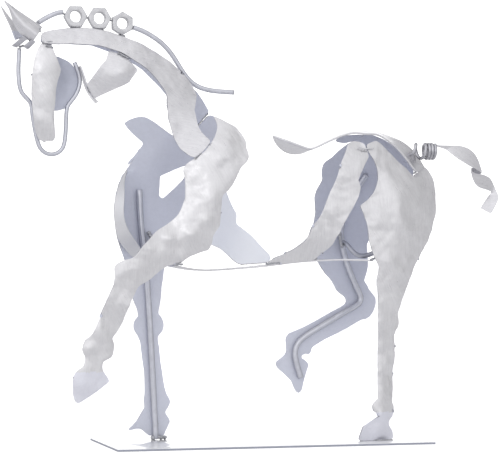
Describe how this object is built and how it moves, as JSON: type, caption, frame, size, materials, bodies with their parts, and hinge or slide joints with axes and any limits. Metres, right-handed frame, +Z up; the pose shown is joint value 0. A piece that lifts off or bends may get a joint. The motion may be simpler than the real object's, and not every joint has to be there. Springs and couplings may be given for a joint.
{
  "type": "metal horse statue",
  "caption": "Silver sheet-metal horse statue stepping with one foreleg raised, welded from bent plates, rods and hexagon nuts on a flat rectangular base plate.",
  "frame": {"origin": "centre of the underside of the base plate", "axes": "+X along the base plate, from the horse's head towards its tail; +Y across the horse, from its left side, which faces the picture's viewer, to its right side; +Z up"},
  "size_m": [0.4577, 0.122, 0.3869],
  "materials": {
    "sheet_paint": "silver paint on brushed and hammered steel sheet",
    "rod_paint": "satin silver paint on round steel bar",
    "nut_paint": "satin silver paint on hexagon nuts",
    "plate_paint": "smooth glossy pale silver paint"
  },
  "bodies": {
    "root": {"base_plate": "plate_paint", "near_foreleg_sheet": "sheet_paint", "near_hind_leg_sheet": "sheet_paint", "near_flank_sheet": "sheet_paint", "far_foreleg_sheet": "sheet_paint", "far_hind_leg_sheet": "sheet_paint", "rib_plate": "sheet_paint", "near_neck_sheet": "sheet_paint", "far_neck_sheet": "sheet_paint", "throat_plate": "sheet_paint", "face_plate": "sheet_paint", "cheek_plate": "sheet_paint", "near_ear": "sheet_paint", "far_ear": "sheet_paint", "loin_tab": "sheet_paint", "crest_tab": "sheet_paint", "back_strip": "sheet_paint", "belly_strip": "sheet_paint", "tail_ribbon": "sheet_paint", "throat_strap": "sheet_paint", "far_foreleg_rod": "rod_paint", "far_hind_leg_rod": "rod_paint", "hind_brace_rod": "rod_paint", "mane_rod_rear": "rod_paint", "mane_rod_front": "rod_paint", "face_wire": "rod_paint", "tail_coil": "rod_paint", "ear_clip_front": "rod_paint", "ear_clip_rear": "rod_paint", "mane_nut_1": "nut_paint", "mane_nut_2": "nut_paint", "mane_nut_3": "nut_paint"}
  },
  "joints": []
}
